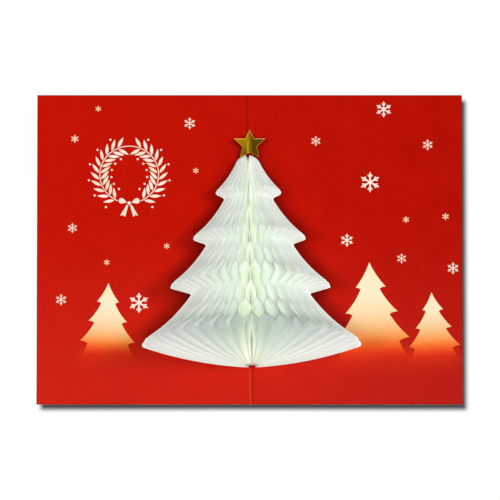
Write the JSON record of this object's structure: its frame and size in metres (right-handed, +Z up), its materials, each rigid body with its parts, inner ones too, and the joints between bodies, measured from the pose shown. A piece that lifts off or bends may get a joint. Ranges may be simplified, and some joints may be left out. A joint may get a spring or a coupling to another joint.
{
  "type": "pop-up card",
  "caption": "Greeting card lying open flat, with a white tissue honeycomb fir tree fanned out of its fold and a folded gold star above it.",
  "frame": {"origin": "middle of the fold on the card's underside", "axes": "+X across the card to its right half, +Y along the fold towards the star, +Z up out of the card"},
  "size_m": [0.24, 0.18, 0.0627],
  "materials": {
    "card_red": "matt printed card",
    "tissue_white": "thin tissue, slightly see-through",
    "foil_gold": "gold foil on card, satin"
  },
  "bodies": {
    "root": {"card": "card_red", "honeycomb_tree": "tissue_white", "star": "foil_gold"}
  },
  "joints": []
}
